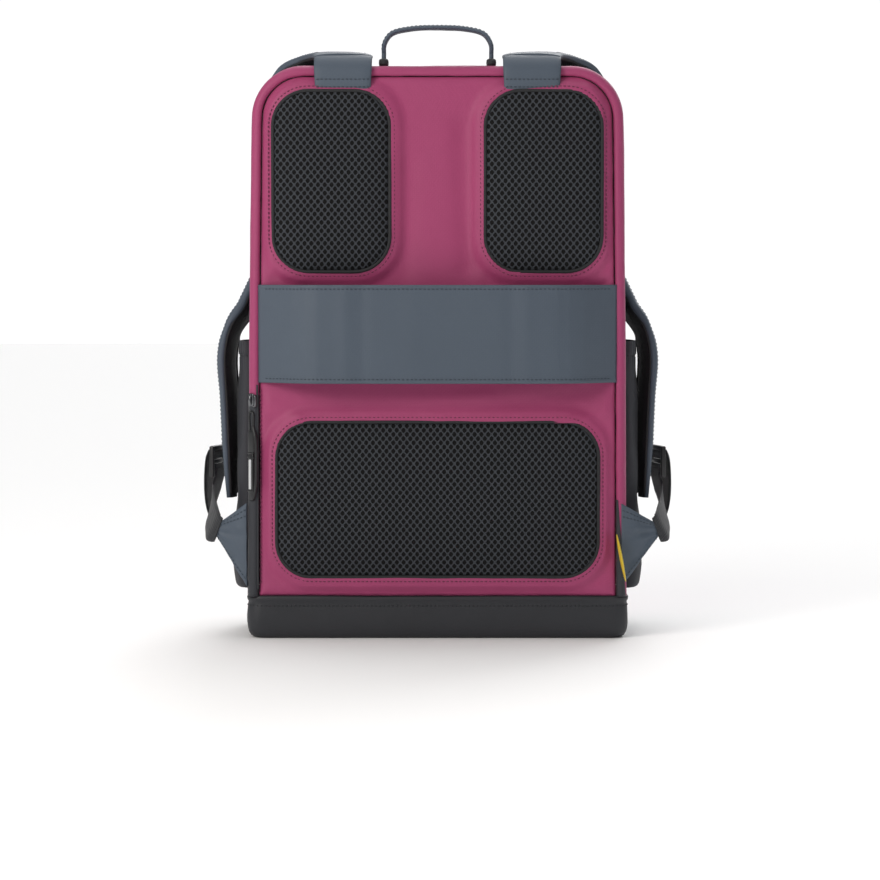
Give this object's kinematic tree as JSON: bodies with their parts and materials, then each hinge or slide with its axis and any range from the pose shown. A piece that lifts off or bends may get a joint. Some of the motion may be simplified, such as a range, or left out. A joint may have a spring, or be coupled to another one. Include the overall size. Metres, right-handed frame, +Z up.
{
  "type": "travel backpack",
  "caption": "Soft backpack standing on its base: mesh back pads, luggage sleeve across the back, shoulder straps swung to the flanks, U-shaped main zip, front and bottle pockets.",
  "frame": {"origin": "underside of the base, at the middle of its width, 75 mm in front of the back panel", "axes": "+Z up; -Y towards the wearer, the back panel's side; +X to the right of someone looking at the back panel"},
  "size_m": [0.3874, 0.1916, 0.4906],
  "materials": {
    "plum_fabric": "plain-weave polyester",
    "slate_fabric": "plain-weave polyester",
    "charcoal_fabric": "plain-weave polyester",
    "coated_fabric": "coated, slightly sheened",
    "spacer_mesh": "open diamond mesh over foam",
    "webbing": "woven strap",
    "lining": "brushed lining over foam",
    "ribbon": "yellow ribbon",
    "board": "stiff sheet",
    "cord_plastic": "satin",
    "slider_metal": "satin zinc alloy"
  },
  "bodies": {
    "pack": {"base_tub": "coated_fabric", "base_board": "board", "back_panel": "plum_fabric", "rear_gusset": "plum_fabric", "main_gusset": "charcoal_fabric", "main_zip_tape_rear": "charcoal_fabric", "back_pad_upper_right": "spacer_mesh", "back_pad_upper_left": "spacer_mesh", "back_pad_lower": "spacer_mesh", "frame_sheet": "board", "laptop_sleeve": "lining", "trolley_sleeve": "slate_fabric", "bottle_pocket_right": "charcoal_fabric", "bottle_pocket_left": "charcoal_fabric", "strap_root_right": "slate_fabric", "strap_root_left": "slate_fabric", "strap_tab_right": "slate_fabric", "strap_tab_left": "slate_fabric", "seam_loop": "ribbon", "handle_anchor_right": "webbing", "handle_anchor_left": "webbing", "side_zip_tape": "charcoal_fabric"},
    "front_cover": {"main_zip_tape_front": "charcoal_fabric", "front_panel": "plum_fabric", "front_pocket": "plum_fabric", "front_pocket_zip_tape": "charcoal_fabric"},
    "strap_right": {"strap_pad_right": "slate_fabric", "strap_webbing_right": "webbing"},
    "strap_left": {"strap_pad_left": "slate_fabric", "strap_webbing_left": "webbing"},
    "lock_right": {"ladder_lock_right": "cord_plastic", "strap_tail_right": "webbing"},
    "lock_left": {"ladder_lock_left": "cord_plastic", "strap_tail_left": "webbing"},
    "handle": {"haul_handle": "slate_fabric"},
    "slider_left": {"main_slider_left": "slider_metal"},
    "pull_left": {"main_pull_left": "cord_plastic"},
    "slider_right": {"main_slider_right": "slider_metal"},
    "pull_right": {"main_pull_right": "cord_plastic"},
    "pocket_slider": {"front_pocket_slider": "slider_metal"},
    "pocket_pull": {"front_pocket_pull": "cord_plastic"},
    "side_zip_slider": {"side_slider": "slider_metal"},
    "side_zip_pull": {"side_pull": "cord_plastic", "side_pull_inlay": "slider_metal"}
  },
  "joints": [
    {"name": "cover_hinge", "type": "hinge", "parent": "pack", "child": "front_cover", "pos_m": [0, 0.056, 0.038], "axis": [-1, 0, 0], "range_deg": [0, 80]},
    {"name": "main_slider_left_slide", "type": "slide", "parent": "pack", "child": "slider_left", "axis": [-1, 0, 0], "range_m": [0, 0.05]},
    {"name": "main_slider_right_slide", "type": "slide", "parent": "pack", "child": "slider_right", "axis": [1, 0, 0], "range_m": [0, 0.05]},
    {"name": "main_pull_left_swing", "type": "hinge", "parent": "slider_left", "child": "pull_left", "pos_m": [-0.008, 0.0391, 0.4549], "axis": [-1, 0, 0], "range_deg": [0, 100]},
    {"name": "main_pull_right_swing", "type": "hinge", "parent": "slider_right", "child": "pull_right", "pos_m": [0.008, 0.0391, 0.4549], "axis": [-1, 0, 0], "range_deg": [0, 100]},
    {"name": "pocket_slider_slide", "type": "slide", "parent": "front_cover", "child": "pocket_slider", "axis": [-1, 0, 0], "range_m": [0, 0.168]},
    {"name": "pocket_pull_swing", "type": "hinge", "parent": "pocket_slider", "child": "pocket_pull", "pos_m": [0.084, 0.0844, 0.255], "axis": [1, 0, 0], "range_deg": [0, 100]},
    {"name": "side_slider_slide", "type": "slide", "parent": "pack", "child": "side_zip_slider", "axis": [0, 0, -1], "range_m": [0, 0.14]},
    {"name": "side_pull_swing", "type": "hinge", "parent": "side_zip_slider", "child": "side_zip_pull", "pos_m": [-0.14874, -0.0756, 0.183], "axis": [-0.6568, 0.7541, 0], "range_deg": [0, 100]},
    {"name": "handle_swing", "type": "hinge", "parent": "pack", "child": "handle", "pos_m": [0, -0.056, 0.471], "axis": [1, 0, 0], "range_deg": [-50, 50]},
    {"name": "strap_right_swing", "type": "hinge", "parent": "pack", "child": "strap_right", "pos_m": [0.075, -0.066, 0.465], "axis": [0.2683, 0.0133, -0.9632], "range_deg": [0, 120]},
    {"name": "strap_left_swing", "type": "hinge", "parent": "pack", "child": "strap_left", "pos_m": [-0.075, -0.066, 0.465], "axis": [0.2683, -0.0133, 0.9632], "range_deg": [0, 120]},
    {"name": "ladder_lock_right_tilt", "type": "hinge", "parent": "strap_right", "child": "lock_right", "pos_m": [0.182, 0.0044, 0.149], "axis": [0.2588, -0.9659, 0], "range_deg": [0, 35]},
    {"name": "ladder_lock_left_tilt", "type": "hinge", "parent": "strap_left", "child": "lock_left", "pos_m": [-0.182, 0.0044, 0.149], "axis": [0.2588, 0.9659, 0], "range_deg": [0, 35]}
  ]
}
